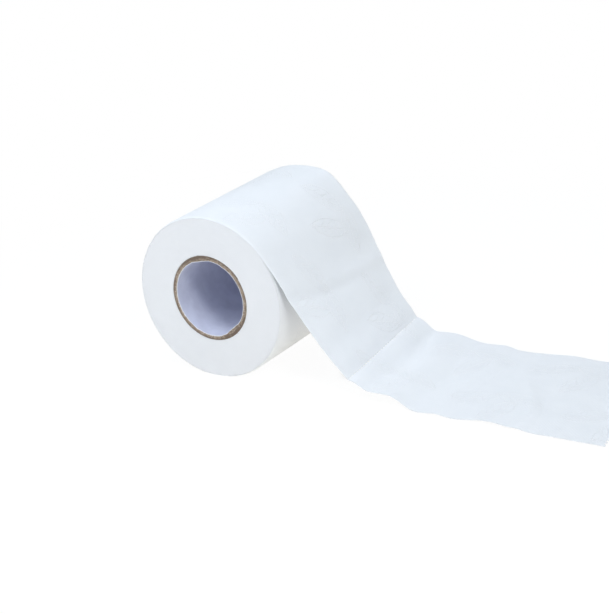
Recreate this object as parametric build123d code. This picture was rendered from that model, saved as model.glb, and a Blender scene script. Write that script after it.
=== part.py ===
from build123d import *
import math
import os

# A toilet paper roll on its side: a wound web of tissue on a lined board tube, with the
# last turn loose and the end of the web drawn off the roll and laid on the floor.
# Millimetres. X runs along the drawn-off web, Y along the roll's axis and Z up.
# The origin is on the roll's axis, halfway along it.

# The roll
roll_diameter = 96
web_width = 100
flat_depth = 0.8

# The core tube
core_bore_diameter = 45
liner_thickness = 0.3
board_thickness = 2.2

# The tissue: one sheet's thickness, and the air under the loose last turn
tissue_thickness = 0.4
turn_gap = 0.3

# The turns that show at the roll's ends, as one shallow spiral line
shown_turns = 5
turn_line_width = 0.5
turn_line_depth = 0.4
turn_line_margin = 1.4

# The loose last turn starts here, in degrees round the axis from +X towards +Z
loose_start = 115

# How far the loose turn stands off the roll, as (degrees, lift), down to where it leaves.
# The near edge lies on the roll, the far edge bulges over the crown.
near_lifts = [(loose_start, 0), (95, 0), (75, 0), (55, 0), (34, 0)]
far_lifts = [(loose_start, 0), (100, 0.8), (87, 1.3), (75, 2.6), (66, 3.4), (57, 2.2), (46, 0.3), (26, 0)]

# The drop from the roll to the crease: how far the crease lies out from the roll's side,
# its height above the floor, the slope on which the drop ends, and its sag at half way
near_crease_out = 39.8
far_crease_out = 27.3
near_crease_height = 11.3
far_crease_height = 8.9
near_drop_slope = 45
far_drop_slope = 54
drop_sag = 2.2

# Folds across the drop, each a straight line over the web: how far back from the crease it
# starts at the near edge and ends at the far edge, and how far it stands out at each edge.
# Ridges and hollows take turns.
drop_folds = [
    (110, 106, 0, 0),
    (58, 45, 0.4, 1.2),
    (48, 37, -0.3, -0.2),
    (28, 31, 0.8, 0.7),
    (19, 18, 0, -0.2),
    (7, 8, 0.5, 0.4),
]

# The crests and troughs of the web on the floor: how far past the crease each one is and
# how high the web's underside is there, at the near edge and then at the far edge
laid_waves = [
    (14, 6.7, 17, 2.7),
    (24, 7.0, 27, 2.9),
    (42, 0.4, 46, 0.4),
    (54, 1.0, 60, 1.1),
    (64, 0.2, 72, 0.2),
    (84, 2.1, 98, 1.2),
    (106, 0.2, 122, 0.2),
    (148, 0.9, 148, 0.3),
]

# How far the web on the floor has strayed sideways, towards -Y: the distance past the crease,
# and how far the near edge and the far edge lie to that side there
laid_strays = [
    (0, 0, 0),
    (18, 1.0, 1.0),
    (45, 1.9, 2.6),
    (80, 2.2, 5.0),
    (110, 2.3, 3.6),
    (148, 2.3, 1.4),
]

# The web is shaped in straight strips about this wide, measured along its length
strip_width = 3.6

# The perforations: a row of slits across the web, with a bond of tissue between slits.
# The web is torn off along such a row, which leaves the torn bonds as small tabs.
perforation_pitch = 3.1
perforation_slit = 1.8
slit_width = 0.4
torn_tab_length = 0.8

roll_radius = roll_diameter / 2
core_radius = core_bore_diameter / 2 + liner_thickness + board_thickness
turn_pitch = tissue_thickness + turn_gap
floor_z = flat_depth - roll_radius
near_y = -web_width / 2
far_y = web_width / 2


def direction(angle):
    """The unit vector at an angle in degrees, in the plane of the roll's end."""
    return Vector(math.cos(math.radians(angle)), math.sin(math.radians(angle)))


def spiral_centre(start_angle, growth, half_turn):
    """The centre of one half turn of a spiral: two centres take turns about the axis."""
    side = 1 if half_turn % 2 else -1
    return direction(start_angle) * (side * growth / 4)


def spiral_arcs(start_angle, start_radius, growth, half_turns):
    """Half circles that make a spiral whose radius changes by growth in each turn."""
    arcs = []
    for half_turn in range(half_turns):
        arcs.append(
            CenterArc(
                center=spiral_centre(start_angle, growth, half_turn),
                radius=start_radius + growth * (half_turn / 2 + 1 / 4),
                start_angle=start_angle + 180 * half_turn,
                arc_size=180,
            )
        )
    return arcs


def closed_face(edges):
    """The flat face inside a chain of edges drawn on the plane of the roll's end."""
    return Plane.XZ * make_face(edges)


def wound_body():
    """The tightly wound turns: one turn's step outside, the core's hole and the flat spot."""
    outline = spiral_arcs(loose_start, roll_radius, -turn_pitch, 2)
    step = Line(outline[-1] @ 1, outline[0] @ 0)
    body = extrude(closed_face(outline + [step]), amount=web_width / 2, both=True)
    hole = Plane.XZ * Circle(core_radius)
    body -= extrude(hole, amount=web_width / 2, both=True)
    below_flat = Pos(0, 0, floor_z) * Box(
        roll_diameter, web_width, roll_diameter, align=(Align.CENTER, Align.CENTER, Align.MAX)
    )
    return body - below_flat


def turn_line():
    """The spiral line between turns that is sunk into an end of the roll, from its rim to the core."""
    rim_radius = roll_radius - turn_pitch - flat_depth - turn_line_margin
    core_end_radius = core_radius + turn_line_margin
    growth = (core_end_radius - rim_radius) / shown_turns
    inner = spiral_arcs(loose_start, rim_radius - turn_line_width / 2, growth, 2 * shown_turns)
    outer = spiral_arcs(loose_start, rim_radius + turn_line_width / 2, growth, 2 * shown_turns)
    ends = [Line(inner[0] @ 0, outer[0] @ 0), Line(inner[-1] @ 1, outer[-1] @ 1)]
    face = closed_face(inner + outer + ends)
    return extrude(face, amount=turn_line_depth, both=True)


def on_loose_turn(angle, lift, y):
    """The middle of the loose turn's sheet, at one edge of the web."""
    centre = spiral_centre(loose_start, -turn_pitch, 1)
    radius = roll_radius - 3 / 4 * turn_pitch + turn_gap + tissue_thickness / 2
    point = centre + direction(angle) * (radius + lift)
    return Vector(point.X, y, point.Y)


def above_floor(out, height, y):
    """The middle of the sheet where its underside is at a height above the floor."""
    return Vector(roll_radius + out, y, floor_z + height + tissue_thickness / 2)


def heading(angle):
    """The way a sheet runs that falls at an angle in degrees below +X."""
    flat = direction(-angle)
    return Vector(flat.X, 0, flat.Y)


def edge_to_crease(lifts, crease_out, crease_height, end_slope, y):
    """One edge of the web from the start of the loose turn, over the crown, to the crease."""
    turn = [on_loose_turn(angle, lift, y) for angle, lift in lifts]
    crease = above_floor(crease_out, crease_height, y)
    chord = crease - turn[-1]
    sag_way = Vector(chord.Z, 0, -chord.X).normalized()
    middle = turn[-1] + chord * 0.5 + sag_way * drop_sag
    start_way = heading(90 - loose_start)
    return Spline(turn + [middle, crease], tangents=[start_way, heading(end_slope)])


def between(start, end, fraction):
    """A value part of the way from one value to another."""
    return start + (end - start) * fraction


def eased(start, end, fraction):
    """A value part of the way from one to another, level at both: the flank of a wave."""
    return between(start, end, (1 - math.cos(math.pi * fraction)) / 2)


def section_plane(near, far, way):
    """The plane across the sheet between two points on its edges, with X along the web's width."""
    across = far - near
    upright = way.cross(across)
    return Plane(origin=(near + far) * 0.5, x_dir=across, z_dir=across.cross(upright))


def sheet_section(near, far, way):
    """A section across the sheet, from a point on its near edge to one on its far edge."""
    return section_plane(near, far, way) * Rectangle((far - near).length, tissue_thickness)


def perforations(near, far, way, gap):
    """A row of slits through the sheet, gap wide, between two points on its edges."""
    plane = section_plane(near, far, way)
    count = int((far - near).length // perforation_pitch)
    slit = Box(perforation_slit, 4 * tissue_thickness, gap)
    places = [(index - (count - 1) / 2) * perforation_pitch for index in range(count)]
    return [plane * Pos(place, 0, 0) * slit for place in places]


def off_edge(edge, back, lift):
    """A point of the sheet's edge, so far back from the crease and lifted square off it."""
    distance = edge.length - back
    point = edge.position_at(distance, position_mode=PositionMode.LENGTH)
    way = edge.tangent_at(distance, position_mode=PositionMode.LENGTH)
    return point + Vector(-way.Z, 0, way.X) * lift


def strips(length):
    """The fractions at which a stretch of the web this long is divided."""
    count = math.ceil(length / strip_width)
    return [step / count for step in range(1, count + 1)]


def drop_points():
    """Pairs of edge points from the start of the loose turn to the crease."""
    near_edge = edge_to_crease(near_lifts, near_crease_out, near_crease_height, near_drop_slope, near_y)
    far_edge = edge_to_crease(far_lifts, far_crease_out, far_crease_height, far_drop_slope, far_y)
    folds = [(near_edge.length, far_edge.length, 0, 0)] + drop_folds + [(0, 0, 0, 0)]
    pairs = [(near_edge @ 0, far_edge @ 0)]
    for start, end in zip(folds, folds[1:]):
        for part_way in strips(start[0] - end[0]):
            near_back = between(start[0], end[0], part_way)
            far_back = between(start[1], end[1], part_way)
            near = off_edge(near_edge, near_back, eased(start[2], end[2], part_way))
            far = off_edge(far_edge, far_back, eased(start[3], end[3], part_way))
            pairs.append((near, far))
    return pairs


def strayed(past_crease, edge):
    """How far an edge of the laid web has strayed sideways: edge 1 is the near one, 2 the far one."""
    for start, end in zip(laid_strays, laid_strays[1:]):
        if past_crease <= end[0]:
            return between(start[edge], end[edge], (past_crease - start[0]) / (end[0] - start[0]))
    return laid_strays[-1][edge]


def laid_points():
    """Pairs of edge points from the crease to the torn end."""
    near_crease = above_floor(near_crease_out, near_crease_height, near_y)
    far_crease = above_floor(far_crease_out, far_crease_height, far_y)
    pairs = [(near_crease, far_crease)]
    waves = [(0, near_crease_height, 0, far_crease_height)] + laid_waves
    for start, end in zip(waves, waves[1:]):
        for part_way in strips(end[0] - start[0]):
            near_past = between(start[0], end[0], part_way)
            far_past = between(start[2], end[2], part_way)
            near_height = eased(start[1], end[1], part_way)
            far_height = eased(start[3], end[3], part_way)
            near = above_floor(near_crease_out + near_past, near_height, near_y - strayed(near_past, 1))
            far = above_floor(far_crease_out + far_past, far_height, far_y - strayed(far_past, 2))
            pairs.append((near, far))
    return pairs


def ways(pairs):
    """The way that the sheet runs at each pair of edge points."""
    middles = [near + far for near, far in pairs]
    before = middles[:1] + middles[:-1]
    after = middles[1:] + middles[-1:]
    return [(late - early).normalized() for early, late in zip(before, after)]


def drawn_off_web():
    """The loose turn, the drop and the part on the floor, as one sheet with its perforations."""
    drop = drop_points()
    sheet = drop + laid_points()[1:]
    sheet_ways = ways(sheet)
    sheet_ways[0] = heading(90 - loose_start)
    sections = [sheet_section(near, far, way) for (near, far), way in zip(sheet, sheet_ways)]
    crease = len(drop) - 1
    crease_row = perforations(*sheet[crease], sheet_ways[crease], slit_width)
    torn_row = perforations(*sheet[-1], sheet_ways[-1], 2 * torn_tab_length)
    return loft(sections, ruled=True) - crease_row - torn_row


def tissue_web():
    """The wound turns with their lines, and the web drawn off them."""
    body = wound_body()
    line = turn_line()
    for y in (near_y, far_y):
        body -= Pos(0, y, 0) * line
    return body + drawn_off_web()


def tube(outer_radius, wall):
    """A tube as long as the web is wide, on the roll's axis."""
    ring = Plane.XZ * (Circle(outer_radius) - Circle(outer_radius - wall))
    return extrude(ring, amount=web_width / 2, both=True)


def cardboard_core():
    """The board tube that the web is wound on."""
    return tube(core_radius, board_thickness)


def core_liner():
    """The white ply inside the board tube."""
    return tube(core_radius - board_thickness, liner_thickness)


os.makedirs("parts", exist_ok=True)
export_step(tissue_web(), "parts/tissue_web.step")
export_step(cardboard_core(), "parts/cardboard_core.step")
export_step(core_liner(), "parts/core_liner.step")
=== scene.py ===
# %% [markdown]
# # A toilet paper roll with its end drawn off
#
# This lesson dresses a small model: a roll of tissue on a board tube, lying on its side,
# with the end of the tissue drawn off and laid over the floor. Three solids come from the
# packed model. They have the right sizes, but they are plain. Here each of them is
# replaced by a piece that is modelled and finished for the eye.
#
# The first cell loads the solids. They stay where they are. Sizes are worked out from
# them or written in millimetres times `MM`. Only the folds and the crumple are given in
# plain millimetres, and the floor and the lamps in metres.

# %% Load the packed model
import bpy
import math
from contextlib import contextmanager
from mathutils import Matrix, Vector, noise
import numpy as np


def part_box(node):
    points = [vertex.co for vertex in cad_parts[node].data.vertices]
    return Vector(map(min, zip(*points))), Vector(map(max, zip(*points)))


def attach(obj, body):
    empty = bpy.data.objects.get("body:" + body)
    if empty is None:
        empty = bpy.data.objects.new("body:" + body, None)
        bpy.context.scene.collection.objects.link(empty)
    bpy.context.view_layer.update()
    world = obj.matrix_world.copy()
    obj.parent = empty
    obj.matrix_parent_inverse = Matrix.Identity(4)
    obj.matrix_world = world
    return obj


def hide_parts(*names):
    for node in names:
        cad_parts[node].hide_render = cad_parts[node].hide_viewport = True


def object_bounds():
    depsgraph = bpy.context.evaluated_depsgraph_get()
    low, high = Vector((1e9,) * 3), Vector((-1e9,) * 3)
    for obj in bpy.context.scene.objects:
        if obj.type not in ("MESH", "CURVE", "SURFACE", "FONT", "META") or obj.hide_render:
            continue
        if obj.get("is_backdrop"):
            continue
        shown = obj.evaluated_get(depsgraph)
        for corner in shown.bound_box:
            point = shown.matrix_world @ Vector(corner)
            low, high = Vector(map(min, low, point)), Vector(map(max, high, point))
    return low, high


MM = 0.001
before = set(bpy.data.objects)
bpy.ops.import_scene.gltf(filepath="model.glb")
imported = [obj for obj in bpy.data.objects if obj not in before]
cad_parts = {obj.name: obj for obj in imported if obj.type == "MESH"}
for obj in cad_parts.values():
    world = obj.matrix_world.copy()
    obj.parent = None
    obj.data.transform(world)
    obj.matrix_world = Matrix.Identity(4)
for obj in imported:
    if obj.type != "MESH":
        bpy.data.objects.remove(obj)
cad_low, cad_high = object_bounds()
web_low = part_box("tissue_web")[0]
core_low, core_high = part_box("cardboard_core")
liner_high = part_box("core_liner")[1]

FLOOR_Z = web_low.z
NEAR_Y = core_low.y
FAR_Y = core_high.y
WEB_WIDTH = FAR_Y - NEAR_Y
BOARD_OUTSIDE = core_high.z
LINER_OUTSIDE = liner_high.z
LINER_THICKNESS = 0.3 * MM
ROLL_RADIUS = 48 * MM
print("solids:", sorted(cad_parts), "web width in mm:", round(WEB_WIDTH / MM, 2))

# %% [markdown]
# ## The camera
#
# The roll is seen from its open end, a little from the right and from above. The camera
# stands about a metre away with a long lens, so the far rim looks almost as large as the
# near one. Its place is written the way a photographer would say it: how far round, how
# high, how far away, and how much the camera itself is tipped.

# %% Place the camera
PHOTO_HEIGHT = 614
FOCAL_PIXELS = 1775
SENSOR_SIZE = 36

CAMERA_ROUND = math.radians(33.97)
CAMERA_UP = math.radians(20.97)
CAMERA_TIPPED = math.radians(-4.87)
CAMERA_DISTANCE = 1036 * MM
CAMERA_ASIDE = 26.7 * MM
CAMERA_LOWERED = 22.0 * MM
NEAREST_SEEN = 10 * MM


def camera_place():
    """The camera's matrix, looking past the roll so that the drawn-off end is in view."""
    back = Vector((
        math.sin(CAMERA_ROUND) * math.cos(CAMERA_UP),
        -math.cos(CAMERA_ROUND) * math.cos(CAMERA_UP),
        math.sin(CAMERA_UP),
    ))
    level = Vector((math.cos(CAMERA_ROUND), math.sin(CAMERA_ROUND), 0))
    upright = back.cross(level)
    right = level * math.cos(CAMERA_TIPPED) + upright * math.sin(CAMERA_TIPPED)
    above = upright * math.cos(CAMERA_TIPPED) - level * math.sin(CAMERA_TIPPED)
    place = back * CAMERA_DISTANCE + right * CAMERA_ASIDE - above * CAMERA_LOWERED
    turned = Matrix((right, above, back)).transposed().to_4x4()
    return Matrix.Translation(place) @ turned


lens = bpy.data.cameras.new("camera")
lens.sensor_width = SENSOR_SIZE
lens.lens = FOCAL_PIXELS * SENSOR_SIZE / PHOTO_HEIGHT
lens.clip_start = NEAREST_SEEN
camera = bpy.data.objects.new("camera", lens)
camera.matrix_world = camera_place()
bpy.context.scene.collection.objects.link(camera)
bpy.context.scene.camera = camera
bpy.context.scene.view_settings.view_transform = "Standard"
print("lens in mm:", round(lens.lens, 2))

# %% [markdown]
# ## Small helpers for modelling
#
# Blender's operators act on whatever is selected. Loading the model leaves its solids
# selected, so each new piece starts by deselecting everything. Selecting by place, such
# as every edge on the outer rim, is then one line with a test.

# %% Helpers for selecting, editing and finishing


def start_clean():
    """Nothing selected and no piece active."""
    bpy.ops.object.select_all(action="DESELECT")
    bpy.context.view_layer.objects.active = None


def name_piece(name):
    """The primitive that was just added, under its own name."""
    piece = bpy.context.view_layer.objects.active
    piece.name = name
    piece.data.name = name
    return piece


@contextmanager
def editing(select_mode="VERT"):
    """Edit mode on the active piece."""
    bpy.ops.object.mode_set(mode="EDIT")
    bpy.ops.mesh.select_mode(type=select_mode)
    yield
    bpy.ops.object.mode_set(mode="OBJECT")


def select_points(piece, wanted):
    """Select the points whose place passes a test, and the edges and faces between them."""
    with editing():
        bpy.ops.mesh.select_all(action="DESELECT")
    for point in piece.data.vertices:
        point.select = bool(wanted(point.co))


def apply_modifier(piece, kind, **settings):
    """Add a modifier with its settings and apply it."""
    modifier = piece.modifiers.new(kind.title(), kind)
    for name, value in settings.items():
        setattr(modifier, name, value)
    bpy.context.view_layer.objects.active = piece
    bpy.ops.object.modifier_apply(modifier=modifier.name)


def place_applied(piece):
    """Move the piece's place into its mesh, so that the object sits at the origin."""
    bpy.ops.object.transform_apply(location=True, rotation=True, scale=True)
    return piece


def draw_along(distance):
    """Extrude the selected edges along the roll."""
    bpy.ops.mesh.extrude_edges_move(TRANSFORM_OT_translate={"value": (0, distance, 0)})


def smooth_outwards(piece, sharp_from):
    """Turn all faces outwards, and shade them smooth where they meet at less than some degrees."""
    start_clean()
    piece.select_set(True)
    bpy.context.view_layer.objects.active = piece
    with editing():
        bpy.ops.mesh.select_all(action="SELECT")
        bpy.ops.mesh.normals_make_consistent(inside=False)
    bpy.ops.object.shade_smooth_by_angle(angle=math.radians(sharp_from))


def report(piece):
    """Print how many faces a piece has and the box that it fills."""
    places = np.array([point.co for point in piece.data.vertices]) / MM
    triangles = sum(len(face.vertices) - 2 for face in piece.data.polygons)
    box = (places.min(0).round(2), places.max(0).round(2))
    print(piece.name, "triangles:", triangles, "box in mm:", *box)


def distance_from_axis(place):
    """How far a place is from the roll's axis."""
    return math.hypot(place.x, place.z)


print("selected by loading:", sorted(piece.name for piece in bpy.context.selected_objects))
start_clean()
print("selected now:", len(bpy.context.selected_objects))

# %% [markdown]
# ## The drawn-off tissue: the path of its two edges
#
# Tissue can't stretch, so its shape is best described by where its two long edges run.
# Both edges go once round the roll as its last turn, pass over the crown, leave the roll,
# hang down to a crease just above the floor, and lie on the floor in shallow waves. The
# far edge bulges off the crown and drops more steeply than the near one, and that
# difference is what twists the sheet.
#
# Each edge is a smooth curve through a few places. Between them the curve keeps its
# bend, like a thin springy strip held at those places, which is how paper hangs.

# %% The places that the two edges pass
TISSUE = 0.3 * MM
TURN_PITCH = 0.313 * MM
LOOSE_START = 115
LEAVES_AT = 34
HIDDEN_OVERLAP = 4
HIDDEN_START = LEAVES_AT + 360 + HIDDEN_OVERLAP
LAST_TURN_RADIUS = 47.8 * MM

# Where each edge runs off the roll: (degrees round the axis, how far off the roll)
NEAR_LIFTS = [(LOOSE_START, 0), (95, 0), (75, 0), (55, 0), (LEAVES_AT, 0)]
FAR_LIFTS = [
    (LOOSE_START, 0),
    (100, 0.8 * MM),
    (87, 1.6 * MM),
    (75, 3.0 * MM),
    (66, 3.7 * MM),
    (57, 2.3 * MM),
    (46, 0.3 * MM),
    (26, 0),
]

NEAR_CREASE_OUT = 39.8 * MM
NEAR_CREASE_HEIGHT = 11.5 * MM
NEAR_DROP_SLOPE = math.radians(45)
FAR_CREASE_OUT = 27.3 * MM
FAR_CREASE_HEIGHT = 9.1 * MM
FAR_DROP_SLOPE = math.radians(54)


def on_roll(angle, lift, y):
    """The middle of the tissue on the roll, at an angle in degrees from +X towards +Z."""
    radius = LAST_TURN_RADIUS - TURN_PITCH * (angle - LOOSE_START) / 360 + lift
    height = max(radius * math.sin(math.radians(angle)), FLOOR_Z + TISSUE / 2)
    return Vector((radius * math.cos(math.radians(angle)), y, height))


def over_floor(out, height, y):
    """The middle of the tissue at a distance out from the roll and a height over the floor."""
    return Vector((ROLL_RADIUS + out, y, FLOOR_Z + height))


near_crease = over_floor(NEAR_CREASE_OUT, NEAR_CREASE_HEIGHT, NEAR_Y)
far_crease = over_floor(FAR_CREASE_OUT, FAR_CREASE_HEIGHT, FAR_Y)
for side, end in (("near", near_crease), ("far", far_crease)):
    print(side, "end of the crease in mm:", [round(value / MM, 1) for value in end])

# %% Draw the edges on the roll and on the drop
DROP_SAG = 2.2 * MM
CURVE_SAMPLES = 60


def springy_slopes(points, chords, start_way, end_way):
    """The curve's slope at each place, so that its bend runs on smoothly through the places."""
    count = len(points)
    sums = np.eye(count)
    wanted = np.zeros((count, 3))
    wanted[0] = start_way
    wanted[-1] = end_way
    for index in range(1, count - 1):
        before = chords[index - 1]
        after = chords[index]
        sums[index, index - 1:index + 2] = (after, 2 * (before + after), before)
        rise = (points[index] - points[index - 1]) * after / before
        rise += (points[index + 1] - points[index]) * before / after
        wanted[index] = 3 * rise
    return [Vector(slope) for slope in np.linalg.solve(sums, wanted)]


def springy_curve(points, start_way, end_way):
    """Many points on the smooth curve through a few places, and how far along each one is."""
    chords = [(after - before).length for before, after in zip(points, points[1:])]
    slopes = springy_slopes(points, chords, start_way, end_way)
    curve = [points[0]]
    for index, chord in enumerate(chords):
        for step in range(1, CURVE_SAMPLES + 1):
            part = step / CURVE_SAMPLES
            rest = 1 - part
            curve.append(
                points[index] * (rest * rest * (1 + 2 * part))
                + points[index + 1] * (part * part * (3 - 2 * part))
                + slopes[index] * (chord * part * rest * rest)
                - slopes[index + 1] * (chord * part * part * rest)
            )
    curve = np.array(curve)
    lengths = np.linalg.norm(np.diff(curve, axis=0), axis=1)
    return curve, np.concatenate(([0], np.cumsum(lengths)))


def falling(slope):
    """The way a sheet runs that falls at an angle below +X."""
    return Vector((math.cos(slope), 0, -math.sin(slope)))


def drop_edge(lifts, crease, slope):
    """One edge from the crown to the crease."""
    turn = [on_roll(angle, lift, crease.y) for angle, lift in lifts]
    chord = crease - turn[-1]
    middle = turn[-1] + chord / 2 + Vector((chord.z, 0, -chord.x)).normalized() * DROP_SAG
    start_way = falling(math.radians(90 - LOOSE_START))
    return springy_curve(turn + [middle, crease], start_way, falling(slope))


near_drop = drop_edge(NEAR_LIFTS, near_crease, NEAR_DROP_SLOPE)
far_drop = drop_edge(FAR_LIFTS, far_crease, FAR_DROP_SLOPE)
flat_lifts = [(angle, 0) for angle, lift in FAR_LIFTS]
far_drop_unlifted = drop_edge(flat_lifts, far_crease, FAR_DROP_SLOPE)
print("drop edges in mm:", round(near_drop[1][-1] / MM, 1), round(far_drop[1][-1] / MM, 1))

# %% [markdown]
# ## The drawn-off tissue: the part on the floor
#
# Past the crease the tissue comes down to the floor and then rises and falls in waves
# that the hand left in it. A wave is a crest and a trough in turn. Its flanks are eased,
# so that the tissue is level on top of a crest and at the bottom of a trough.

# %% Draw the edges on the floor

# Crests and troughs past the crease: (near edge out, height, far edge out, height)
FLOOR_WAVES = [
    (14 * MM, 7.2 * MM, 15 * MM, 2.7 * MM),
    (24 * MM, 7.5 * MM, 26 * MM, 3.0 * MM),
    (42 * MM, 0.6 * MM, 46 * MM, 0.6 * MM),
    (54 * MM, 1.2 * MM, 60 * MM, 1.3 * MM),
    (64 * MM, 0.4 * MM, 72 * MM, 0.4 * MM),
    (84 * MM, 2.3 * MM, 98 * MM, 1.4 * MM),
    (106 * MM, 0.4 * MM, 122 * MM, 0.4 * MM),
    (151 * MM, 1.1 * MM, 148 * MM, 0.5 * MM),
]
WAVE_SAMPLES = 24

# How far each edge has strayed towards the viewer: (out from the crease, near edge, far edge)
STRAYS = [
    (0, 0, 0),
    (18 * MM, 1.0 * MM, 1.0 * MM),
    (45 * MM, 1.7 * MM, 3.0 * MM),
    (80 * MM, 1.1 * MM, 6.0 * MM),
    (108 * MM, 1.6 * MM, 4.2 * MM),
    (148 * MM, 3.0 * MM, -0.5 * MM),
]


def floor_edge(waves, crease_out, crease_height, y, strays):
    """One edge from the crease to the torn end: points along it, and how far along each one is."""
    points = [over_floor(crease_out, crease_height, y)]
    before = (0, crease_height)
    for after in waves:
        for step in range(1, WAVE_SAMPLES + 1):
            part = step / WAVE_SAMPLES
            eased = (1 - math.cos(math.pi * part)) / 2
            out = crease_out + before[0] + (after[0] - before[0]) * part
            points.append(over_floor(out, before[1] + (after[1] - before[1]) * eased, y))
        before = after
    points = np.array(points)
    outs = points[:, 0] - points[0, 0]
    points[:, 1] -= np.interp(outs, [stray[0] for stray in STRAYS], strays)
    lengths = np.linalg.norm(np.diff(points, axis=0), axis=1)
    return points, np.concatenate(([0], np.cumsum(lengths)))


near_waves = [wave[:2] for wave in FLOOR_WAVES]
far_waves = [wave[2:] for wave in FLOOR_WAVES]
near_strays = [stray[1] for stray in STRAYS]
far_strays = [stray[2] for stray in STRAYS]
near_floor = floor_edge(near_waves, NEAR_CREASE_OUT, NEAR_CREASE_HEIGHT, NEAR_Y, near_strays)
far_floor = floor_edge(far_waves, FAR_CREASE_OUT, FAR_CREASE_HEIGHT, FAR_Y, far_strays)
DROP_LENGTH = 147 * MM
FLOOR_LENGTH = 150 * MM
print("floor edges in mm:", round(near_floor[1][-1] / MM, 1), round(far_floor[1][-1] / MM, 1))

# %% [markdown]
# ## The flat sheet, with its perforations
#
# A good habit with cloth and paper is to start from the flat piece as the factory cut it.
# Each point then knows where it is on the flat sheet, and emboss and print can follow the
# sheet over every fold. The sheet is a grid. Its rows lie close together where the tissue
# folds, and wide apart where it only follows the roll. Pairs of rows a hair apart hold
# the perforations: in them, two faces of every three are deleted, which leaves slits
# with a bond of tissue between them.

# %% The rows and columns of the flat sheet
SHEET_PITCH = 150 * MM
SLIT_WIDTH = 0.5 * MM
TORN_TAB = 0.9 * MM
SLIT_PITCHES = 31
SLIT_PITCH = 3.1 * MM
PITCH_COLUMNS = 3
EDGE_COLUMNS = [0, 0.35 * MM, 0.8 * MM, 1.35 * MM]
ROLL_ROW = 3 * MM
FOLD_ROW = 0.95 * MM

wrapped_length = math.radians(HIDDEN_START - LOOSE_START) * (LAST_TURN_RADIUS - TURN_PITCH / 2)
sheet_start = -wrapped_length
sheet_end = DROP_LENGTH + FLOOR_LENGTH


def stretch(start, end, step):
    """Even places from a start to just before an end."""
    return list(np.linspace(start, end, math.ceil((end - start) / step), endpoint=False))


def sheet_rows():
    """Where the grid's rows lie along the flat sheet, and which of them start a slit."""
    slits = [DROP_LENGTH - 2 * SHEET_PITCH, DROP_LENGTH - SHEET_PITCH, DROP_LENGTH]
    rows = []
    slit_rows = []
    place = sheet_start
    for slit in slits:
        step = FOLD_ROW if slit == DROP_LENGTH else ROLL_ROW
        rows += stretch(place, slit - SLIT_WIDTH / 2, step)
        slit_rows.append(len(rows))
        rows.append(slit - SLIT_WIDTH / 2)
        place = slit + SLIT_WIDTH / 2
    rows += stretch(place, sheet_end - TORN_TAB, FOLD_ROW)
    slit_rows.append(len(rows))
    rows += [sheet_end - TORN_TAB, sheet_end]
    return np.array(rows), slit_rows


def sheet_columns():
    """Where the grid's columns lie across the sheet: close together at both edges."""
    inner_start = (WEB_WIDTH - SLIT_PITCHES * SLIT_PITCH) / 2
    inner_count = PITCH_COLUMNS * SLIT_PITCHES + 1
    inner = [inner_start + SLIT_PITCH * index / PITCH_COLUMNS for index in range(inner_count)]
    return np.array(EDGE_COLUMNS + inner + [WEB_WIDTH - place for place in reversed(EDGE_COLUMNS)])


rows, slit_rows = sheet_rows()
columns = sheet_columns()
flat_length = sheet_end - sheet_start
print("rows:", len(rows), "columns:", len(columns))
print("flat length in mm:", round(flat_length / MM, 1))

# %% Add the flat grid and cut its perforations


def add_flat_sheet(name):
    """A grid with one vertex for every row and column, still one metre square."""
    start_clean()
    bpy.ops.mesh.primitive_grid_add(
        x_subdivisions=len(rows) - 1, y_subdivisions=len(columns) - 1, size=1,
    )
    return name_piece(name)


def grid_indices(places):
    """The row and column of places on the one-metre grid."""
    row = np.rint((places[:, 0] + 0.5) * (len(rows) - 1)).astype(int)
    column = np.rint((places[:, 1] + 0.5) * (len(columns) - 1)).astype(int)
    return row, column


def cut_slits(sheet):
    """Delete two faces of every three in each row of slits."""
    with editing("FACE"):
        bpy.ops.mesh.select_all(action="DESELECT")
    first_column = len(EDGE_COLUMNS)
    for face in sheet.data.polygons:
        row = math.floor((face.center.x + 0.5) * (len(rows) - 1))
        column = math.floor((face.center.y + 0.5) * (len(columns) - 1)) - first_column
        inside = 0 <= column < PITCH_COLUMNS * SLIT_PITCHES
        bond = column % PITCH_COLUMNS == PITCH_COLUMNS - 1
        face.select = row in slit_rows and inside and not bond
    with editing("FACE"):
        bpy.ops.mesh.delete(type="FACE")


tissue_sheet = add_flat_sheet("tissue_sheet")
cut_slits(tissue_sheet)
print("slits cut in", len(slit_rows), "rows")

# %% [markdown]
# ## Laying the sheet on its path
#
# Now each vertex moves from the flat sheet to its place. A row reaches from the near edge
# to the far edge. The bulge of the far edge fades quickly towards the middle, where the
# tissue lies on the roll. The outermost two millimetres of the sheet curl in at the
# roll's rims, as a cut roll's edges do.

# %% Find the place of every row and column
BULGE_FADE = 2.0
RIM_CURL = 0.65 * MM
RIM_CURL_WIDTH = 1.9 * MM


def along(edge, part):
    """The point a part of the way along an edge, by its length."""
    points, lengths = edge
    return np.array([np.interp(part * lengths[-1], lengths, points[:, axis]) for axis in range(3)])


def row_ends(place):
    """The near end, the far end and the unlifted far end of a row of the sheet."""
    if place < 0:
        angle = LOOSE_START - place / wrapped_length * (HIDDEN_START - LOOSE_START)
        far = np.array(on_roll(angle, 0, FAR_Y))
        return np.array(on_roll(angle, 0, NEAR_Y)), far, far
    if place < DROP_LENGTH:
        part = place / DROP_LENGTH
        return along(near_drop, part), along(far_drop, part), along(far_drop_unlifted, part)
    part = (place - DROP_LENGTH) / FLOOR_LENGTH
    far = along(far_floor, part)
    return along(near_floor, part), far, far


def sheet_places():
    """The smooth sheet: a place for every row and column."""
    across = (columns / WEB_WIDTH)[:, None]
    places = []
    for place in rows:
        near, far, unlifted = row_ends(place)
        places.append(near + (unlifted - near) * across + (far - unlifted) * across ** BULGE_FADE)
    return np.array(places)


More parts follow.
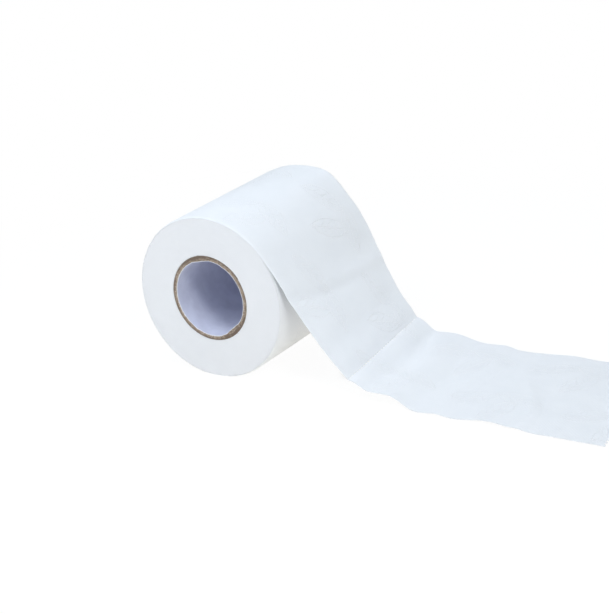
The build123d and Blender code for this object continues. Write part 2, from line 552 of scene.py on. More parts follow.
def outward(places):
    """The outward direction at every row and column."""
    crosswise = np.cross(np.gradient(places, axis=0), np.gradient(places, axis=1))
    return crosswise / np.linalg.norm(crosswise, axis=2, keepdims=True)


smooth_places = sheet_places()
smooth_outward = outward(smooth_places)
print("sheet spans in mm:", (np.ptp(smooth_places.reshape(-1, 3), axis=0) / MM).round(1))

# %% [markdown]
# ## Folds
#
# The folds make the tissue look like tissue. A fold runs across the sheet and wanders a
# little, so each one is given at a few places: how far across, how far along, and how
# high it stands there. A hollow has a negative height. Seen from the front, the light
# comes over the roll from the left, so the flank of a fold that faces the roll is light
# and the flank that faces away is dark.

# %% The folds of the drop and of the floor part

# A fold is (half width, [(across, along, height), ...]), all in millimetres
FOLDS = [
    (8, [(38, 82, 0), (55, 86, -0.5), (70, 88, -0.55), (85, 91, -0.45), (100, 95, -0.4)]),
    (4, [(45, 98, 0.1), (55, 99.5, 0.6), (75, 101.5, 0.9), (100, 104, 0.8)]),
    (4.5, [(0, 93, -1.2), (20, 98.5, -1.4), (37, 103, -1.2), (53, 105, -0.8), (85, 108, 0)]),
    (6, [(0, 117, 0.4), (30, 116, 0.35), (60, 114, 0.2), (100, 115, 0.1)]),
    (5, [(0, 127, -0.3), (40, 127.5, -0.35), (60, 128, -0.5), (80, 128, -0.7), (100, 127, -0.6)]),
    (4, [(0, 139, 0.3), (40, 139, 0.35), (60, 139.5, 0.5), (80, 140, 0.6), (100, 140, 0.5)]),
    (5, [(0, 158, -0.4), (25, 160, -0.6), (40, 164, -0.9), (58, 166, -0.9), (72, 162, -1.2),
         (100, 161, -0.9)]),
    (8, [(0, 170, -0.3), (15, 170, -0.9), (40, 171, -0.8), (60, 172, -0.1)]),
    (6, [(40, 175, 0), (60, 177, 0.5), (75, 175, 0.5), (100, 176, 0.2)]),
    (8, [(0, 190, 0.3), (15, 190, 0.9), (40, 190, 0.8), (60, 190, 0.1)]),
    (6, [(0, 193, -0.3), (40, 193, -0.4), (60, 189, -0.5), (80, 190, -0.2)]),
    (3.5, [(0, 202, 0.5), (40, 203, 0.5), (70, 209, 0.5), (100, 210, 0.4)]),
    (4, [(0, 209, -0.2), (25, 209, -0.2), (70, 218, -0.3), (100, 217, -0.3)]),
    (4.5, [(0, 248, 1.6), (20, 251, 1.8), (45, 243, 1.3), (58, 236, 0.3), (100, 229, 0.2)]),
    (8, [(50, 254, 0), (70, 255, 0.6), (100, 255, 0.6)]),
]

# A fold keeps this share of its height at the sheet's edge, and all of it so far in
EDGE_FOLDS = 0.5
EDGE_REACH = 9
FOLD_PASSES = 30


def fold_height(width, line, along_mm, across_mm):
    """How far one fold lifts the sheet at places given in millimetres along and across it."""
    stops = [stop[0] for stop in line]
    middle = np.interp(across_mm, stops, [stop[1] for stop in line])
    height = np.interp(across_mm, stops, [stop[2] for stop in line])
    return height * np.exp(-((along_mm - middle) / width) ** 2)


def smoothed(values):
    """Values averaged with their neighbours across the sheet, so that a fold wanders softly."""
    for _ in range(FOLD_PASSES):
        padded = np.pad(values, ((0, 0), (1, 1)), mode="edge")
        values = (padded[:, :-2] + 2 * padded[:, 1:-1] + padded[:, 2:]) / 4
    return values


along_mm = np.repeat(rows[:, None] / MM, len(columns), axis=1)
across_mm = np.repeat(columns[None, :] / MM, len(rows), axis=0)
folds_mm = sum(fold_height(width, line, along_mm, across_mm) for width, line in FOLDS)
from_edge_mm = np.minimum(across_mm, WEB_WIDTH / MM - across_mm)
edge_share = EDGE_FOLDS + (1 - EDGE_FOLDS) * np.clip(from_edge_mm / EDGE_REACH, 0, 1)
fold_lift = smoothed(folds_mm) * edge_share * MM
print("folds in mm:", round(folds_mm.min(), 2), "to", round(folds_mm.max(), 2))

# %% [markdown]
# ## Crumple and rims
#
# Between the folds real tissue is never flat. Soft noise adds a crumple of a tenth of a
# millimetre. It is weaker on the roll, where the tissue is held tight. The last cell of
# the sheet's shape moves the vertices, gives the sheet its thickness and writes each
# point's flat place into the UV map, in metres.

# %% Add the crumple
CRUMPLE = 0.22 * MM
CRUMPLE_SIZE = 11
CRUMPLE_ACROSS = 0.7
TIGHT_CRUMPLE = 0.25

# The noise of the crumple: (how fast small waves weaken, how much smaller each is, how many)
CRUMPLE_NOISE = (1.0, 2.1, 3)

# In millimetres along the sheet: where it leaves the roll, and over how much it loosens
LEAVES_ROLL = 60
LOOSENS_OVER = 40


def crumple():
    """Soft noise over the flat sheet, weak where the tissue lies on the roll."""
    heights = np.zeros(along_mm.shape)
    for row in range(len(rows)):
        for column in range(len(columns)):
            across = across_mm[row, column] * CRUMPLE_ACROSS
            place = Vector((along_mm[row, column], across, 0)) / CRUMPLE_SIZE
            heights[row, column] = noise.fractal(place, *CRUMPLE_NOISE)
    loose = np.clip((along_mm - LEAVES_ROLL) / LOOSENS_OVER, 0, 1)
    return heights * CRUMPLE * (TIGHT_CRUMPLE + (1 - TIGHT_CRUMPLE) * loose)


relief = fold_lift + crumple()
print("folds and crumple in mm:", (relief.min() / MM).round(2), "to", (relief.max() / MM).round(2))

# %% Shape the sheet

# In millimetres along the sheet, where its edges no longer curl in
CURL_STOPS = 90


def rim_curl():
    """How far the sheet's edges curl in, on the roll only."""
    from_edge = np.minimum(columns, WEB_WIDTH - columns)
    depth = np.clip(1 - from_edge / RIM_CURL_WIDTH, 0, 1) ** 2 * RIM_CURL
    held = np.clip((CURL_STOPS - rows / MM) / LOOSENS_OVER, 0, 1)
    return held[:, None] * depth[None, :]


def settle(places):
    """Keep the tissue above the floor, and the loose part outside the turn that lies under it."""
    places[..., 2] = np.maximum(places[..., 2], FLOOR_Z + TISSUE / 2)
    loose = places[rows > 0]
    angles = np.degrees(np.arctan2(loose[..., 2], loose[..., 0]))
    least = LAST_TURN_RADIUS - TURN_PITCH * (angles + 360 - LOOSE_START) / 360 + TISSUE
    pushed = np.maximum(least / np.hypot(loose[..., 0], loose[..., 2]), 1)
    loose[..., 0] *= pushed
    loose[..., 2] *= pushed
    places[rows > 0] = loose
    return places


def shape_sheet(sheet, places):
    """Move every vertex from the flat grid to its place and write the flat places as UVs."""
    mesh = sheet.data
    flat = np.zeros(len(mesh.vertices) * 3)
    mesh.vertices.foreach_get("co", flat)
    row, column = grid_indices(flat.reshape(-1, 3))
    corners = np.zeros(len(mesh.loops), dtype=int)
    mesh.loops.foreach_get("vertex_index", corners)
    flat_places = np.stack([rows[row[corners]], columns[column[corners]]], axis=1)
    mesh.uv_layers.active.name = "flat_sheet"
    mesh.uv_layers.active.data.foreach_set("uv", flat_places.ravel())
    mesh.vertices.foreach_set("co", places[row, column].ravel())
    mesh.update()


sheet_surface = settle(smooth_places + smooth_outward * relief[..., None])
sheet_surface -= smooth_outward * rim_curl()[..., None]
shape_sheet(tissue_sheet, sheet_surface)
apply_modifier(tissue_sheet, "SOLIDIFY", thickness=TISSUE, offset=0, use_rim=True)
smooth_outwards(tissue_sheet, sharp_from=50)
report(tissue_sheet)

# %% [markdown]
# ## The wound turns
#
# Seen from the end, a roll is one long spiral. A cut through it shows every turn as a low
# ridge between two grooves, one pitch apart: one ridge is modelled, and an Array modifier
# repeats it seventy times from the tube to the rim. This row of ridges is then spun half
# way round about one centre and half way round about another, a quarter of a pitch to
# either side of the axis. After the two half circles each ridge has moved out by exactly
# one pitch, so it meets the next one, and all the turns join into one spiral. The whole
# is then turned, so that the step at its outer end lies where the sheet leaves the roll.
# The ridges stand a tenth of a millimetre proud of the sheet's edge, which keeps a dark
# line from showing between the two.

# %% Spin the turns of one end
TURNS = 70
HALF_TURN_STEPS = 60
GROOVE_DEPTH = 0.09 * MM
END_PROUD = 0.1 * MM
GROOVE_FROM = 0.4 * TURN_PITCH
MERGE_WITHIN = TURN_PITCH / 50

# The last wound turn starts one turn inside the place where the loose one leaves the roll,
# and its rim reaches into the curled edge of the sheet, so that no gap shows there
UNDER_SHEET = LAST_TURN_RADIUS - TURN_PITCH * (LEAVES_AT + 360 - LOOSE_START) / 360 - TISSUE / 2
OUTER_TURN = UNDER_SHEET - RIM_CURL + TISSUE / 2
INNER_TURN = OUTER_TURN - TURNS * TURN_PITCH


def add_row_of_ridges():
    """One edge of a plane, cut into a groove, a flat top and a groove, and repeated."""
    start_clean()
    ridge_middle = INNER_TURN + TURN_PITCH / 2
    end_y = NEAR_Y - END_PROUD
    bpy.ops.mesh.primitive_plane_add(size=TURN_PITCH, location=(ridge_middle, end_y, 0))
    piece = place_applied(name_piece("wound_turns"))
    select_points(piece, lambda place: place.y > end_y)
    with editing():
        bpy.ops.mesh.delete(type="VERT")
        bpy.ops.mesh.select_all(action="SELECT")
        bpy.ops.transform.translate(value=(0, TURN_PITCH / 2, 0))
        bpy.ops.mesh.subdivide(number_cuts=2)
    select_points(piece, lambda place: abs(place.x - ridge_middle) > GROOVE_FROM)
    with editing():
        bpy.ops.transform.translate(value=(0, GROOVE_DEPTH, 0))
    apply_modifier(
        piece, "ARRAY", count=TURNS, use_relative_offset=False, use_constant_offset=True,
        constant_offset_displace=(TURN_PITCH, 0, 0), use_merge_vertices=True,
        merge_threshold=MERGE_WITHIN,
    )
    return piece


def spin_turns(piece):
    """Spin the row of ridges through two half circles, and join each ridge to the next."""
    with editing("EDGE"):
        bpy.ops.mesh.select_all(action="SELECT")
        for side in (-1, 1):
            centre = (side * TURN_PITCH / 4, NEAR_Y, 0)
            bpy.ops.mesh.spin(steps=HALF_TURN_STEPS, angle=math.pi, center=centre, axis=(0, -1, 0))
        bpy.ops.mesh.select_all(action="SELECT")
        bpy.ops.mesh.remove_doubles(threshold=MERGE_WITHIN)
    piece.rotation_euler.y = -math.radians(LEAVES_AT)
    place_applied(piece)


wound_turns = add_row_of_ridges()
spin_turns(wound_turns)
report(wound_turns)

# %% [markdown]
# The spiral end is now closed into a body. Its outer boundary is drawn out under the
# sheet's curled edge and along the roll to the middle, its inner boundary goes straight
# in along the tube, and a mirror makes the other half. The bottom is pressed flat, where
# the soft roll rests.

# %% Close the turns into a body
RIM_DEPTHS = [0.2 * MM, 0.45 * MM, 0.8 * MM, 1.25 * MM, RIM_CURL_WIDTH]
FLAT_HEIGHT = FLOOR_Z + TISSUE


def select_open_edge(piece, wanted):
    """Select the boundary edges whose points pass a test."""
    with editing("EDGE"):
        bpy.ops.mesh.select_all(action="DESELECT")
        bpy.ops.mesh.select_non_manifold(
            extend=False, use_wire=False, use_boundary=True, use_multi_face=False,
            use_non_contiguous=False, use_verts=False,
        )
    points = piece.data.vertices
    for edge in piece.data.edges:
        edge.select = edge.select and all(wanted(points[index].co) for index in edge.vertices)
    chosen = {index for edge in piece.data.edges if edge.select for index in edge.vertices}
    for point in points:
        point.select = point.index in chosen


def is_outer(place):
    return distance_from_axis(place) > (INNER_TURN + OUTER_TURN) / 2


def draw_out_rim(piece):
    """Extrude the outer boundary under the sheet's curled edge and to the middle of the roll."""
    select_open_edge(piece, is_outer)
    radius = OUTER_TURN
    depth = 0
    with editing("EDGE"):
        for next_depth in RIM_DEPTHS:
            curl = RIM_CURL * (1 - next_depth / RIM_CURL_WIDTH) ** 2
            wider = max(UNDER_SHEET - curl, OUTER_TURN)
            draw_along(next_depth - depth)
            grown = wider / radius
            bpy.ops.transform.resize(value=(grown, 1, grown), center_override=(0, 0, 0))
            radius = wider
            depth = next_depth
        draw_along(WEB_WIDTH / 2 - depth - GROOVE_DEPTH)


def draw_in_bore(piece):
    """Extrude the inner boundary straight in to the middle of the roll."""
    select_open_edge(piece, lambda place: place.y < NEAR_Y / 2 and not is_outer(place))
    with editing("EDGE"):
        draw_along(WEB_WIDTH / 2)


def level_middle(piece):
    """Put the two inner ends exactly on the mirror's plane."""
    select_points(piece, lambda place: place.y > NEAR_Y / 2)
    with editing():
        bpy.ops.transform.resize(value=(1, 0, 1), center_override=(0, 0, 0))


def press_flat(piece):
    """Press the bottom flat, just above the tissue that it lies on."""
    select_points(piece, lambda place: place.z < FLAT_HEIGHT)
    with editing():
        bpy.ops.transform.resize(value=(1, 1, 0), center_override=(0, 0, FLAT_HEIGHT))


draw_out_rim(wound_turns)
draw_in_bore(wound_turns)
level_middle(wound_turns)
apply_modifier(wound_turns, "MIRROR", use_axis=(False, True, False), merge_threshold=MERGE_WITHIN)
press_flat(wound_turns)
report(wound_turns)

# %% [markdown]
# The saw leaves an end that is nearly flat but never quite: some turns stand a little
# proud and others lie a little deep. A Displace modifier with cloud noise does that on
# the two ends only, held there by a vertex group.

# %% Roughen the two ends
END_RELIEF = 0.3 * MM
END_RELIEF_SIZE = 7 * MM


def cloud_texture(name, size, depth=2):
    """Cloud noise for a Displace modifier."""
    texture = bpy.data.textures.new(name, "CLOUDS")
    texture.noise_scale = size
    texture.noise_depth = depth
    return texture


def displace(piece, texture, strength, direction, wanted):
    """Displace the points that pass a test, along one axis."""
    group = piece.vertex_groups.new(name="displaced")
    group.add([point.index for point in piece.data.vertices if wanted(point.co)], 1.0, "REPLACE")
    apply_modifier(
        piece, "DISPLACE", texture=texture, texture_coords="LOCAL", strength=strength,
        direction=direction, vertex_group=group.name, mid_level=0.5,
    )
    piece.vertex_groups.clear()


def on_end(place):
    return abs(place.y) > FAR_Y - 2 * GROOVE_DEPTH and distance_from_axis(place) < OUTER_TURN


displace(wound_turns, cloud_texture("saw_marks", END_RELIEF_SIZE), END_RELIEF, "Y", on_end)
smooth_outwards(wound_turns, sharp_from=60)
report(wound_turns)

# %% [markdown]
# ## The board tube and its lining
#
# The tube is wound from grey-brown board with a white ply inside. At its ends the cut
# board is fibrous. It is drawn from a circle: the circle is extruded inwards in rings for
# the cut edge, then in along the tube, and mirrored. Tubes are pressed flat when they are
# stored, and this one has opened again with two creases, nearly opposite each other. There
# the wall is thick: its inner side is pressed in, and its outer side bulges a little.

# %% Model the two tubes
TUBE_STEPS = 288
BOARD_RINGS = 6
TUBE_DEPTHS = [0.3 * MM, 1 * MM, 3 * MM, 7 * MM, 14 * MM, 26 * MM]
TUBE_MERGE = 0.02 * MM


def draw_out_wall():
    """Extrude the selected edges to the roll's middle, in short steps near its end."""
    depth = 0
    for next_depth in TUBE_DEPTHS + [WEB_WIDTH / 2]:
        draw_along(next_depth - depth)
        depth = next_depth


def add_tube(name, outside, inside, rings):
    """Half a tube: its cut edge in rings, and its inner and outer walls as far as the middle."""
    start_clean()
    bpy.ops.mesh.primitive_circle_add(
        vertices=TUBE_STEPS, radius=outside, fill_type="NOTHING", location=(0, NEAR_Y, 0),
        rotation=(math.pi / 2, 0, 0),
    )
    piece = place_applied(name_piece(name))
    with editing("EDGE"):
        bpy.ops.mesh.select_all(action="SELECT")
        radius = outside
        for ring in range(1, rings + 1):
            next_radius = outside + (inside - outside) * ring / rings
            shrunk = next_radius / radius
            draw_along(0)
            bpy.ops.transform.resize(value=(shrunk, 1, shrunk), center_override=(0, NEAR_Y, 0))
            radius = next_radius
        draw_out_wall()
    middle_of_wall = (outside + inside) / 2
    select_open_edge(piece, lambda place: distance_from_axis(place) > middle_of_wall)
    with editing("EDGE"):
        draw_out_wall()
    apply_modifier(piece, "MIRROR", use_axis=(False, True, False), merge_threshold=TUBE_MERGE)
    return piece


board_tube = add_tube("board_tube", BOARD_OUTSIDE, LINER_OUTSIDE, BOARD_RINGS)
tube_lining = add_tube("tube_lining", LINER_OUTSIDE, LINER_OUTSIDE - LINER_THICKNESS, 1)
tubes = (board_tube, tube_lining)
for tube in tubes:
    report(tube)

# %% Press the two creases and fray the inner edge

# Each crease is (degrees round the axis, how deep its inner side is pressed in)
CREASES = [(102, 0.7 * MM), (310, 1.35 * MM)]
CREASE_BULGE = 0.7 * MM
PRESS_SPREAD = 15
BULGE_SPREAD = 7
CREASE_DEPTH = 9 * MM
FRAYED_EDGE = 0.24 * MM
FRAYED_SIZE = 1.1 * MM
FRAYED_DEPTH = 1.2 * MM


def press_creases(piece, outside, inside):
    """Press the inner wall in, and the outer wall out, at two creases, and fray the inner edge."""
    for point in piece.data.vertices:
        radius = distance_from_axis(point.co)
        angle = math.degrees(math.atan2(point.co.z, point.co.x))
        from_end = FAR_Y - abs(point.co.y)
        inner_share = min(max((outside - radius) / (outside - inside), 0), 1)
        fray = noise.noise(point.co / FRAYED_SIZE) * math.exp(-(from_end / FRAYED_DEPTH) ** 2)
        moved = FRAYED_EDGE * fray * inner_share
        for crease, press in CREASES:
            turn = (angle - crease + 180) % 360 - 180
            depth_share = math.exp(-(from_end / CREASE_DEPTH) ** 2)
            pressed = press * math.exp(-(turn / PRESS_SPREAD) ** 2)
            bulged = CREASE_BULGE * math.exp(-abs(turn) / BULGE_SPREAD)
            moved += (bulged * (1 - inner_share) - pressed * inner_share) * depth_share
        point.co.x *= 1 + moved / radius
        point.co.z *= 1 + moved / radius


for tube in tubes:
    press_creases(tube, BOARD_OUTSIDE, LINER_OUTSIDE)
    report(tube)

# %% Roughen the cut board and smooth both tubes
FIBRE_RELIEF = 0.35 * MM
FIBRE_SIZE = 0.9 * MM
LINING_FIBRE_SIZE = 3 * FIBRE_SIZE
CUT_EDGE_DEPTH = 0.1 * MM


def on_cut_edge(place):
    return abs(place.y) > FAR_Y - CUT_EDGE_DEPTH


board_fibres = cloud_texture("board_fibres", FIBRE_SIZE, depth=4)
lining_edge = cloud_texture("lining_edge", LINING_FIBRE_SIZE)
displace(board_tube, board_fibres, FIBRE_RELIEF, "Y", on_cut_edge)
displace(tube_lining, lining_edge, FIBRE_RELIEF, "Y", on_cut_edge)
for tube in tubes:
    smooth_outwards(tube, sharp_from=40)
    report(tube)

# %% [markdown]
# ## Writing materials as sums
#
# A material is a graph of nodes. Placing each Math node by hand hides what is being
# computed, so a small class wraps a socket, and Python's own signs on it add the Math
# nodes. Every other node comes from one method, which sets the node's settings first and
# then its sockets.

# %% A number on which sums can be written


class Value:
    """A number inside a material, on which sums can be written."""

    def __init__(self, finish, socket):
        self.finish = finish
        self.socket = socket

    def math(self, operation, *others):
        sockets = dict(enumerate((self, *others)))
        node = self.finish.node("Math", {"operation": operation}, sockets)
        return Value(self.finish, node.outputs[0])

    def __add__(self, other):
        return self.math("ADD", other)

    __radd__ = __add__

    def __mul__(self, other):
        return self.math("MULTIPLY", other)

    __rmul__ = __mul__

    def __sub__(self, other):
        return self.math("SUBTRACT", other)

    def __rsub__(self, other):
        return self.math("MULTIPLY_ADD", -1, other)

    def __truediv__(self, other):
        return self.math("DIVIDE", other)

    def __abs__(self):
        return self.math("ABSOLUTE")

    def root(self):
        return self.math("SQRT")

    def whole(self):
        return self.math("FLOOR")

    def fraction(self):
        return self.math("FRACT")

    def cosine(self):
        return self.math("COSINE")

    def smaller(self, other):
        return self.math("MINIMUM", other)

    def larger(self, other):
        return self.math("MAXIMUM", other)

    def rises(self, low, high):
        """0 below low, 1 above high, and a soft step between."""
        limits = {"Value": self, "From Min": low, "From Max": high}
        node = self.finish.node("MapRange", {"interpolation_type": "SMOOTHSTEP"}, limits)
        return Value(self.finish, node.outputs[0])

    def falls(self, low, high):
        """1 below low, 0 above high, and a soft step between."""
        return 1 - self.rises(low, high)


print("named sums:", [name for name in vars(Value) if not name.startswith("_")])

# %% A material or a room that is being made
NOISE_ROUGHNESS = 0.55


class Finish:
    """A material, or the room around the object, that is being made."""

    def __init__(self, owner):
        owner.use_nodes = True
        self.owner = owner
        self.tree = owner.node_tree
        self.tree.nodes.clear()

    def node(self, kind, settings=(), sockets=()):
        """Add any node: its settings first, then the values or links of its sockets."""
        made = self.tree.nodes.new("ShaderNode" + kind)
        for name, value in dict(settings).items():
            setattr(made, name, value)
        for name, value in dict(sockets).items():
            source = value.socket if isinstance(value, Value) else value
            if isinstance(source, bpy.types.NodeSocket):
                self.tree.links.new(source, made.inputs[name])
            else:
                made.inputs[name].default_value = source
        return made

    def value(self, kind, output, settings=(), sockets=()):
        """Add a node and give one of its outputs as a value."""
        return Value(self, self.node(kind, settings, sockets).outputs[output])

    def seen_directly(self):
        """1 for what is seen straight, in gloss or through glass, and 0 for all other rays."""
        path = self.node("LightPath")
        rays = ("Is Camera Ray", "Is Glossy Ray", "Is Transmission Ray")
        camera, glossy, through = (Value(self, path.outputs[ray]) for ray in rays)
        return camera.larger(glossy).larger(through)

    def object_place(self):
        return self.node("TexCoord").outputs["Object"]

    def flat_place(self):
        return self.node("UVMap", {"uv_map": "flat_sheet"}).outputs[0]

    def parts(self, place):
        """The three numbers of a place."""
        node = self.node("SeparateXYZ", (), {0: place})
        return [Value(self, output) for output in node.outputs]

    def noise(self, place, size, detail=3):
        """Soft noise from 0 to 1 with features of about this size in metres."""
        sockets = {"Vector": place, "Scale": 1 / size, "Detail": detail}
        sockets["Roughness"] = NOISE_ROUGHNESS
        return self.value("TexNoise", 0, (), sockets)

    def blend(self, amount, colour, other):
        """A colour part of the way from one colour to another."""
        node = self.node("Mix", {"data_type": "RGBA"}, {0: amount, 6: colour, 7: other})
        return node.outputs[2]

    def bump(self, height, distance):
        """A surface normal from heights between 0 and 1."""
        return self.node("Bump", (), {"Height": height, "Distance": distance}).outputs[0]

    def mix_shaders(self, amount, shader, other):
        """A shader part of the way from one shader to another."""
        return self.node("MixShader", (), {0: amount, 1: shader, 2: other}).outputs[0]

    def surface(self, **sockets):
        """The Principled shader, connected as the material's surface."""
        named = {}
        for name, value in sockets.items():
            named[name.replace("_", " ").title().replace("Ior", "IOR")] = value
        shader = self.node("BsdfPrincipled", (), named)
        self.node("OutputMaterial", (), {"Surface": shader.outputs[0]})
        return self.owner


def new_finish(name):
    """A new material to make."""
    return Finish(bpy.data.materials.new(name))


print("steps of a finish:", [name for name in vars(Finish) if not name.startswith("_")])

# %% [markdown]
# ## The tissue
#
# Tissue is matt, soft and very slightly blue. Its plies are embossed: here a sprig of
# leaves drawn in fine dotted lines that stand a little proud, and small dots around it.
# The lines and dots are painted a little lighter, as a painted highlight on what stands
# proud. The pattern is worked out from the flat place of each point, so it follows the
# sheet over the crown and down the drop. A leaf is what two overlapping circles share,
# and its outline is where the distance to the nearer arc is small.

# %% The tissue's emboss
CELL_LENGTH = 64 * MM
CELL_WIDTH = 50 * MM
LEAF_HALF_LENGTH = 15 * MM
LEAF_HALF_WIDTH = 6 * MM
LINE_WIDTH = 0.75 * MM
LINE_DOT = 1.9 * MM
FIELD_DOT = 2.2 * MM
FIELD_SHARE = 0.1

# Each leaf of a sprig: (degrees that it is turned, how far forward, how far sideways)
SPRIG = [
    (24, -9 * MM, 4 * MM),
    (62, 8 * MM, -9 * MM),
    (-14, 16 * MM, 8 * MM),
]
LANE_SHIFT = 0.5

# A step is a pair: where a soft step starts, and where it ends
RIB_LENGTH = (0.9 * LEAF_HALF_LENGTH, LEAF_HALF_LENGTH)
VEIN_PITCH = LEAF_HALF_LENGTH / 3
VEIN_SLANT = 1.1
VEIN_STEP = (0.04, 0.09)
VEINS_INSIDE = (-2.2 * MM, -1.4 * MM)
LINE_DOT_STEP = (-0.5, 0.5)
FIELD_DOT_STEP = (0.1, 0.8)
FIELD_CLEARS = (1.5 * MM, 3 * MM)


def turned(x, y, degrees):
    """The two coordinates, turned about their origin."""
    cos = math.cos(math.radians(degrees))
    sin = math.sin(math.radians(degrees))
    return x * cos + y * sin, y * cos - x * sin


def leaf(x, y):
    """How deep the dotted lines of one leaf are, and how far inside its outline a point is."""
    arc_radius = (LEAF_HALF_LENGTH ** 2 + LEAF_HALF_WIDTH ** 2) / (2 * LEAF_HALF_WIDTH)
    aside = abs(y) + (arc_radius - LEAF_HALF_WIDTH)
    outside = (x * x + aside * aside).root() - arc_radius
    outline = abs(outside).falls(0, LINE_WIDTH)
    rib = abs(y).falls(0, LINE_WIDTH) * abs(x).falls(*RIB_LENGTH)
    vein_place = ((x - abs(y) * VEIN_SLANT) / VEIN_PITCH).fraction()
    veins = abs(vein_place - 0.5).falls(*VEIN_STEP) * outside.falls(*VEINS_INSIDE)
    return outline.larger(rib).larger(veins), outside


def dot_grid(along, across, pitch):
    """Dots in a diagonal grid: 1 in the middle of a dot and below 0 between the dots."""
    turns = 2 * math.pi / pitch
    return (along * turns).cosine() * (across * turns).cosine()


def emboss(finish):
    """The height of the embossed pattern, 1 on its lines and dots."""
    along, across, unused = finish.parts(finish.flat_place())
    lane = (across / CELL_WIDTH).whole()
    shifted = along / CELL_LENGTH + lane * LANE_SHIFT
    x = (shifted.fraction() - 0.5) * CELL_LENGTH
    y = ((across / CELL_WIDTH).fraction() - 0.5) * CELL_WIDTH
    lines = None
    clear = None
    for degrees, forward, sideways in SPRIG:
        leaf_x, leaf_y = turned(x - forward, y - sideways, degrees)
        drawn, outside = leaf(leaf_x, leaf_y)
        lines = drawn if lines is None else lines.larger(drawn)
        clear = outside if clear is None else clear.smaller(outside)
    dotted = lines * dot_grid(along, across, LINE_DOT).rises(*LINE_DOT_STEP)
    dots = dot_grid(along, across, FIELD_DOT).rises(*FIELD_DOT_STEP)
    return dotted.larger(dots * clear.rises(*FIELD_CLEARS) * FIELD_SHARE)


print("leaves in a sprig:", len(SPRIG))

# %% The tissue's finish
TISSUE_COLOUR = (0.855, 0.872, 0.912, 1)
TISSUE_SHADE = (0.84, 0.859, 0.90, 1)
EMBOSS_DEPTH = 0.2 * MM
# A painted highlight: the emboss's lines and dots are painted lighter, towards this colour by the
# share below
EMBOSS_PAINTED_HIGHLIGHT = (0.94, 0.95, 0.985, 1)
EMBOSS_HIGHLIGHT_SHARE = 0.6
FIBRE_BUMP = 0.05 * MM
FINE_FIBRES = 0.5 * MM
COARSE_FIBRES = 2.2 * MM
COARSE_SHARE = 0.4
TISSUE_CLOUDS = 14 * MM
CLOUD_STEP = (0.3, 0.75)


def tissue_finish():
    finish = new_finish("soft_tissue")
    place = finish.object_place()
    fine = finish.noise(place, FINE_FIBRES, detail=4)
    coarse = finish.noise(place, COARSE_FIBRES, detail=2)
    fibres = fine * (1 - COARSE_SHARE) + coarse * COARSE_SHARE
    pattern = emboss(finish)
    raised = finish.bump(pattern, EMBOSS_DEPTH)
    bumps = {"Height": fibres, "Distance": FIBRE_BUMP, "Normal": raised}
    fibrous = finish.node("Bump", (), bumps).outputs[0]
    cloudy = finish.noise(place, TISSUE_CLOUDS).rises(*CLOUD_STEP)
    plain = finish.blend(cloudy, TISSUE_COLOUR, TISSUE_SHADE)
    return finish.surface(
        # The emboss is painted lighter here, a painted highlight on its raised lines and dots
        base_color=finish.blend(pattern * EMBOSS_HIGHLIGHT_SHARE, plain, EMBOSS_PAINTED_HIGHLIGHT),
        roughness=0.95,
        normal=fibrous,
        sheen_weight=0.2,
        sheen_roughness=0.6,
        subsurface_weight=0.5,
        subsurface_radius=(0.5 * MM, 0.5 * MM, 0.5 * MM),
        subsurface_scale=1.0,
        specular_ior_level=0.2,
    )


soft_tissue = tissue_finish()
print("nodes in the tissue:", len(soft_tissue.node_tree.nodes))

# %% [markdown]
# ## The sawn ends, the board and the lining
#
# The ends of the turns are cut tissue: the same white, with a faint grain that follows
# the turns. The board is brown-grey with darker plies and pale fibres. It is paler
# towards the inside, partly from its fibres and partly from a painted shade that darkens
# its outer edge, where it meets the tissue, and a painted shade darkens its two creases.
# Its lining is smooth white paper, with a painted shade that makes it darker and bluer,
# as in the shade of the bore, and it is paler where it is cut.

# %% The finish of the sawn ends
END_COLOUR = (0.89, 0.902, 0.965, 1)
END_SHADE = (0.875, 0.888, 0.95, 1)
END_GRAIN = 0.55 * MM
END_GRAIN_LENGTH = 4 * MM
END_BLOTCHES = 6 * MM
END_FIBRES = 0.35 * MM
END_FIBRE_SHARE = 0.4
END_BUMP = 0.12 * MM
TONE_STEP = (0.3, 0.7)


def ring_place(finish, stretch_round):
    """A place that changes quickly from turn to turn and slowly round the axis."""
    x, y, z = finish.parts(finish.object_place())
    radius = (x * x + z * z).root()
    angle = x.math("ARCTAN2", z)
    return finish.node("CombineXYZ", (), {0: radius, 1: angle * stretch_round, 2: y}).outputs[0]


def sawn_finish():
    finish = new_finish("sawn_tissue")
    rings = finish.noise(ring_place(finish, END_GRAIN_LENGTH), END_GRAIN)
    blotches = finish.noise(finish.object_place(), END_BLOTCHES)
    fibres = finish.noise(finish.object_place(), END_FIBRES)
    grain = rings * (1 - END_FIBRE_SHARE) + fibres * END_FIBRE_SHARE
    tone = (rings * 0.5 + blotches * 0.5).rises(*TONE_STEP)
    return finish.surface(
        base_color=finish.blend(tone, END_SHADE, END_COLOUR),
        roughness=0.97,
        normal=finish.bump(grain, END_BUMP),
        sheen_weight=0.1,
        sheen_roughness=0.6,
        subsurface_weight=0.6,
        subsurface_radius=(1.2 * MM, 1.2 * MM, 1.2 * MM),
        subsurface_scale=1.0,
        specular_ior_level=0.2,
    )


sawn_tissue = sawn_finish()
print("nodes in the sawn tissue:", len(sawn_tissue.node_tree.nodes))

# %% The finish of the board
BOARD_COLOUR = (0.33, 0.26, 0.205, 1)
BOARD_DARK = (0.185, 0.14, 0.11, 1)
BOARD_PALE = (0.58, 0.50, 0.43, 1)
PLY_SIZE = 0.9 * MM
PLY_LENGTH = 9 * MM
PLY_STEP = (0.42, 0.68)
BOARD_FIBRES = 0.7 * MM
SPECK_STEP = (0.58, 0.75)
BOARD_BUMP = 0.2 * MM

# How much lighter the plies and the specks are at the inside (pale fibres there, and a painted
# shade at the outer edge), and how dark the painted shade at the creases is
INNER_PLIES = 0.2
INNER_SPECKS = 0.12
CREASE_PAINTED_SHADE = 0.8
CREASE_STEP = (0.8, 1.0)


